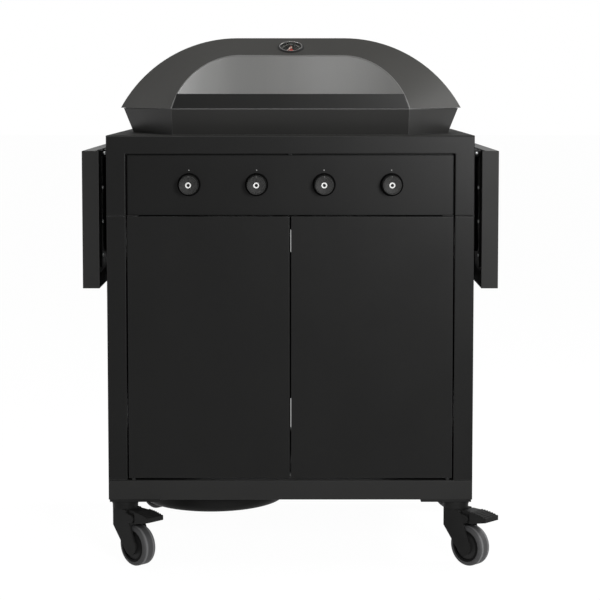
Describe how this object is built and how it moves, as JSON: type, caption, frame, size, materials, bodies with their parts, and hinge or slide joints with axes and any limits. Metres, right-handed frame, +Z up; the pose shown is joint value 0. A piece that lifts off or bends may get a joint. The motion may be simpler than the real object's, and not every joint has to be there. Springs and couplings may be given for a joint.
{
  "type": "gas grill on a caster cabinet",
  "caption": "Gas grill with a vaulted lid and firebox on a black cabinet with doors, knobs, fold-down side tables and braked casters.",
  "frame": {"origin": "on the floor, under the middle of the outline box", "axes": "+X to the right when facing the doors, +Y to the back, +Z up"},
  "size_m": [0.824, 0.605, 1.054],
  "materials": {
    "black_coat": "satin black powder coat",
    "lid_coat": "satin dark grey heat-proof coat",
    "firebox_coat": "satin black heat-proof coat",
    "bare_steel": "plain",
    "cast_iron": "matte seasoned",
    "brass": "plain",
    "knob_plastic": "fine grained, white printed ring",
    "trim_plastic": "moulded",
    "tyre_rubber": "matte grey",
    "gauge_case": "satin",
    "gauge_face": "printed",
    "gauge_needle": "matte",
    "gauge_glass": "clear"
  },
  "bodies": {
    "cabinet": {"base_frame": "black_coat", "floor_panel": "black_coat", "bottle_dish": "black_coat", "left_side_panel": "black_coat", "right_side_panel": "black_coat", "back_panel": "black_coat", "front_frame": "black_coat", "control_panel": "black_coat", "worktop": "black_coat", "firebox": "firebox_coat", "burners": "bare_steel", "flame_tamers": "bare_steel", "cooking_grate_left": "cast_iron", "cooking_grate_right": "cast_iron", "gas_manifold": "brass", "gas_valves": "brass", "knob_bezels": "trim_plastic", "caster_plates": "black_coat", "door_pivots": "black_coat", "door_catches": "trim_plastic", "lid_hinge_posts": "firebox_coat", "table_hinge_plates": "black_coat", "tray_runners": "bare_steel"},
    "lid": {"lid_shell": "lid_coat", "lid_front_panel": "lid_coat", "lid_handle": "firebox_coat", "lid_hinge_arms": "firebox_coat", "thermometer_case": "gauge_case", "thermometer_dial": "gauge_face", "thermometer_lens": "gauge_glass"},
    "gauge_needle": {"thermometer_needle": "gauge_needle"},
    "left_door_leaf": {"left_door": "black_coat"},
    "right_door_leaf": {"right_door": "black_coat"},
    "left_table": {"left_side_table": "black_coat", "left_table_arms": "black_coat"},
    "right_table": {"right_side_table": "black_coat", "right_table_arms": "black_coat"},
    "tray": {"drip_tray": "bare_steel"},
    "stem_1": {"valve_stem_1": "bare_steel"},
    "control_knob_1": {"knob_1": "knob_plastic"},
    "stem_2": {"valve_stem_2": "bare_steel"},
    "control_knob_2": {"knob_2": "knob_plastic"},
    "stem_3": {"valve_stem_3": "bare_steel"},
    "control_knob_3": {"knob_3": "knob_plastic"},
    "stem_4": {"valve_stem_4": "bare_steel"},
    "control_knob_4": {"knob_4": "knob_plastic"},
    "fork_front_left": {"caster_fork_front_left": "trim_plastic"},
    "wheel_front_left": {"caster_hub_front_left": "trim_plastic", "caster_tyre_front_left": "tyre_rubber"},
    "pedal_front_left": {"brake_pedal_front_left": "trim_plastic"},
    "fork_front_right": {"caster_fork_front_right": "trim_plastic"},
    "wheel_front_right": {"caster_hub_front_right": "trim_plastic", "caster_tyre_front_right": "tyre_rubber"},
    "pedal_front_right": {"brake_pedal_front_right": "trim_plastic"},
    "fork_rear_left": {"caster_fork_rear_left": "trim_plastic"},
    "wheel_rear_left": {"caster_hub_rear_left": "trim_plastic", "caster_tyre_rear_left": "tyre_rubber"},
    "fork_rear_right": {"caster_fork_rear_right": "trim_plastic"},
    "wheel_rear_right": {"caster_hub_rear_right": "trim_plastic", "caster_tyre_rear_right": "tyre_rubber"}
  },
  "joints": [
    {"name": "lid_swing", "type": "hinge", "parent": "cabinet", "child": "lid", "pos_m": [0, 0.25845, 0.9055], "axis": [-1, 0, 0], "range_deg": [0, 85]},
    {"name": "needle_turn", "type": "hinge", "parent": "lid", "child": "gauge_needle", "pos_m": [0, -0.06805, 1.0345], "axis": [0, 0.4338, -0.901], "range_deg": [0, 300]},
    {"name": "left_door_swing", "type": "hinge", "parent": "cabinet", "child": "left_door_leaf", "pos_m": [-0.3125, -0.25055, 0.436], "axis": [0, 0, -1], "range_deg": [0, 110]},
    {"name": "right_door_swing", "type": "hinge", "parent": "cabinet", "child": "right_door_leaf", "pos_m": [0.3125, -0.25055, 0.436], "axis": [0, 0, 1], "range_deg": [0, 110]},
    {"name": "left_table_fold", "type": "hinge", "parent": "cabinet", "child": "left_table", "pos_m": [-0.374, 0.01445, 0.82], "axis": [0, 1, 0], "range_deg": [0, 90]},
    {"name": "right_table_fold", "type": "hinge", "parent": "cabinet", "child": "right_table", "pos_m": [0.374, 0.01445, 0.82], "axis": [0, -1, 0], "range_deg": [0, 90]},
    {"name": "tray_slide", "type": "slide", "parent": "cabinet", "child": "tray", "axis": [0, 1, 0], "range_m": [0, 0.3]},
    {"name": "knob_turn_1", "type": "hinge", "parent": "cabinet", "child": "stem_1", "pos_m": [-0.1995, -0.24755, 0.761], "axis": [0, -1, 0], "range_deg": [0, 210]},
    {"name": "knob_push_1", "type": "slide", "parent": "stem_1", "child": "control_knob_1", "axis": [0, 1, 0], "range_m": [0, 0.003], "stiffness_N_per_m": 800},
    {"name": "knob_turn_2", "type": "hinge", "parent": "cabinet", "child": "stem_2", "pos_m": [-0.0665, -0.24755, 0.761], "axis": [0, -1, 0], "range_deg": [0, 210]},
    {"name": "knob_push_2", "type": "slide", "parent": "stem_2", "child": "control_knob_2", "axis": [0, 1, 0], "range_m": [0, 0.003], "stiffness_N_per_m": 800},
    {"name": "knob_turn_3", "type": "hinge", "parent": "cabinet", "child": "stem_3", "pos_m": [0.0665, -0.24755, 0.761], "axis": [0, -1, 0], "range_deg": [0, 210]},
    {"name": "knob_push_3", "type": "slide", "parent": "stem_3", "child": "control_knob_3", "axis": [0, 1, 0], "range_m": [0, 0.003], "stiffness_N_per_m": 800},
    {"name": "knob_turn_4", "type": "hinge", "parent": "cabinet", "child": "stem_4", "pos_m": [0.1995, -0.24755, 0.761], "axis": [0, -1, 0], "range_deg": [0, 210]},
    {"name": "knob_push_4", "type": "slide", "parent": "stem_4", "child": "control_knob_4", "axis": [0, 1, 0], "range_m": [0, 0.003], "stiffness_N_per_m": 800},
    {"name": "swivel_front_left", "type": "hinge", "parent": "cabinet", "child": "fork_front_left", "pos_m": [-0.332, -0.22255, 0.11], "axis": [0, 0, 1], "continuous": true},
    {"name": "roll_front_left", "type": "hinge", "parent": "fork_front_left", "child": "wheel_front_left", "pos_m": [-0.30513, -0.24942, 0.04], "axis": [0.7071, 0.7071, 0], "continuous": true},
    {"name": "brake_front_left", "type": "hinge", "parent": "fork_front_left", "child": "pedal_front_left", "pos_m": [-0.30372, -0.25083, 0.096], "axis": [0.7071, 0.7071, 0], "range_deg": [0, 15]},
    {"name": "swivel_front_right", "type": "hinge", "parent": "cabinet", "child": "fork_front_right", "pos_m": [0.332, -0.22255, 0.11], "axis": [0, 0, 1], "continuous": true},
    {"name": "roll_front_right", "type": "hinge", "parent": "fork_front_right", "child": "wheel_front_right", "pos_m": [0.35887, -0.24942, 0.04], "axis": [0.7071, 0.7071, 0], "continuous": true},
    {"name": "brake_front_right", "type": "hinge", "parent": "fork_front_right", "child": "pedal_front_right", "pos_m": [0.36028, -0.25083, 0.096], "axis": [0.7071, 0.7071, 0], "range_deg": [0, 15]},
    {"name": "swivel_rear_left", "type": "hinge", "parent": "cabinet", "child": "fork_rear_left", "pos_m": [-0.332, 0.25145, 0.11], "axis": [0, 0, 1], "continuous": true},
    {"name": "roll_rear_left", "type": "hinge", "parent": "fork_rear_left", "child": "wheel_rear_left", "pos_m": [-0.30513, 0.22458, 0.04], "axis": [0.7071, 0.7071, 0], "continuous": true},
    {"name": "swivel_rear_right", "type": "hinge", "parent": "cabinet", "child": "fork_rear_right", "pos_m": [0.332, 0.25145, 0.11], "axis": [0, 0, 1], "continuous": true},
    {"name": "roll_rear_right", "type": "hinge", "parent": "fork_rear_right", "child": "wheel_rear_right", "pos_m": [0.35887, 0.22458, 0.04], "axis": [0.7071, 0.7071, 0], "continuous": true}
  ]
}
